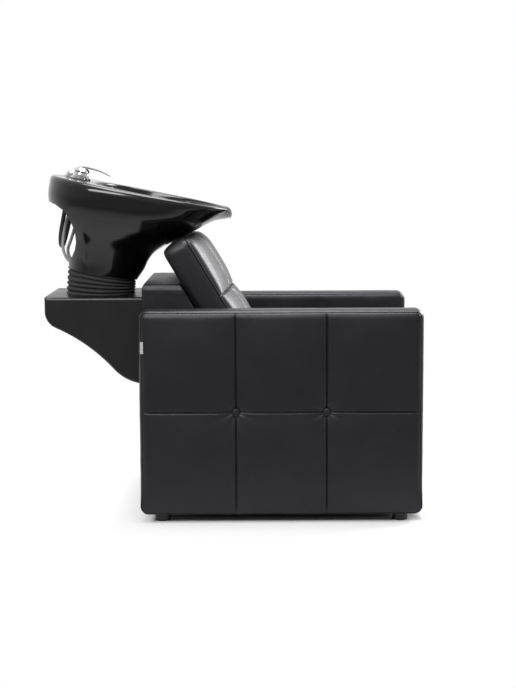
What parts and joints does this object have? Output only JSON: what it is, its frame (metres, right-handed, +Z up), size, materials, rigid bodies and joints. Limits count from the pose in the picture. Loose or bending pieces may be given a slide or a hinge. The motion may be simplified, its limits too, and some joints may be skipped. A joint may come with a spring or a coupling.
{
  "type": "salon backwash unit",
  "caption": "Upholstered box armchair with a rear console and bellows that carry a tilting glossy black wash basin with mixer, hand shower and waste",
  "frame": {"origin": "on the floor, under the middle of the bounding box", "axes": "+X is the way the sitter faces, +Y the sitter's left, +Z up"},
  "size_m": [1.168, 0.7, 1.0879],
  "materials": {
    "upholstery": "matt black coated fabric",
    "timber": "raw plywood",
    "feet": "black moulded plastic",
    "fastener_steel": "zinc plated",
    "frame_steel": "black powder coat",
    "console": "satin black moulding",
    "black_rubber": "matt rubber",
    "grey_hose": "light grey hose",
    "black_ceramic": "glossy black glaze",
    "chrome": "polished chrome plate",
    "plumbing_plastic": "white moulded plastic",
    "brass": "plain brass"
  },
  "bodies": {
    "chair": {"right_arm_cover": "upholstery", "left_arm_cover": "upholstery", "right_arm_buttons": "upholstery", "left_arm_buttons": "upholstery", "front_apron": "upholstery", "seat_cushion": "upholstery", "backrest_cushion": "upholstery", "rear_box_cover": "upholstery", "right_arm_frame": "timber", "left_arm_frame": "timber", "front_rail": "timber", "seat_deck": "timber", "seat_bearers": "timber", "backrest_board": "timber", "rear_box_sides": "timber", "rear_panel": "timber", "rear_box_rail": "timber", "feet": "feet", "foot_screws": "fastener_steel", "arm_bolts": "fastener_steel", "console_screws": "fastener_steel", "base_bolts": "fastener_steel", "support_posts": "frame_steel", "support_beam": "frame_steel", "cantilever_arms": "frame_steel", "mount_plate": "frame_steel", "tilt_base": "frame_steel", "service_plate": "frame_steel", "console_shell": "console", "bellows": "black_rubber", "hot_hose": "grey_hose", "cold_hose": "grey_hose", "waste_hose": "grey_hose", "waste_outlet": "plumbing_plastic", "tilt_bushes": "plumbing_plastic", "hot_inlet": "brass", "cold_inlet": "brass"},
    "basin": {"basin": "black_ceramic", "tilt_yoke": "frame_steel", "yoke_bolts": "fastener_steel", "tilt_pins": "fastener_steel", "clamp_nuts": "fastener_steel", "friction_washers": "plumbing_plastic", "waste_flange": "chrome", "waste_nut": "plumbing_plastic", "mixer_body": "chrome", "mixer_gasket": "black_rubber", "mixer_nut": "brass", "shower_collar": "chrome", "shower_hose": "black_rubber"},
    "cartridge": {"mixer_cartridge": "plumbing_plastic", "lever_pin": "fastener_steel"},
    "lever": {"mixer_lever": "chrome"},
    "handset": {"hand_shower": "chrome"},
    "strainer": {"strainer": "chrome"}
  },
  "joints": [
    {"name": "basin_tilt", "type": "hinge", "parent": "chair", "child": "basin", "pos_m": [-0.424, 0, 0.72], "axis": [0, 1, 0], "range_deg": [-15, 0], "deforming": ["bellows", "hot_hose", "cold_hose", "waste_hose"]},
    {"name": "mixer_swivel", "type": "hinge", "parent": "basin", "child": "cartridge", "pos_m": [-0.48172, 0, 1.05662], "axis": [0.1942, 0, 0.981], "range_deg": [-45, 45]},
    {"name": "lever_lift", "type": "hinge", "parent": "cartridge", "child": "lever", "pos_m": [-0.48172, 0, 1.05662], "axis": [0, -1, 0], "range_deg": [0, 20]},
    {"name": "hand_shower_pull", "type": "slide", "parent": "basin", "child": "handset", "axis": [0.1942, 0, 0.981], "range_m": [0, 0.3], "deforming": ["shower_hose"]},
    {"name": "strainer_lift", "type": "slide", "parent": "basin", "child": "strainer", "axis": [0.1942, 0, 0.981], "range_m": [0, 0.09]}
  ]
}
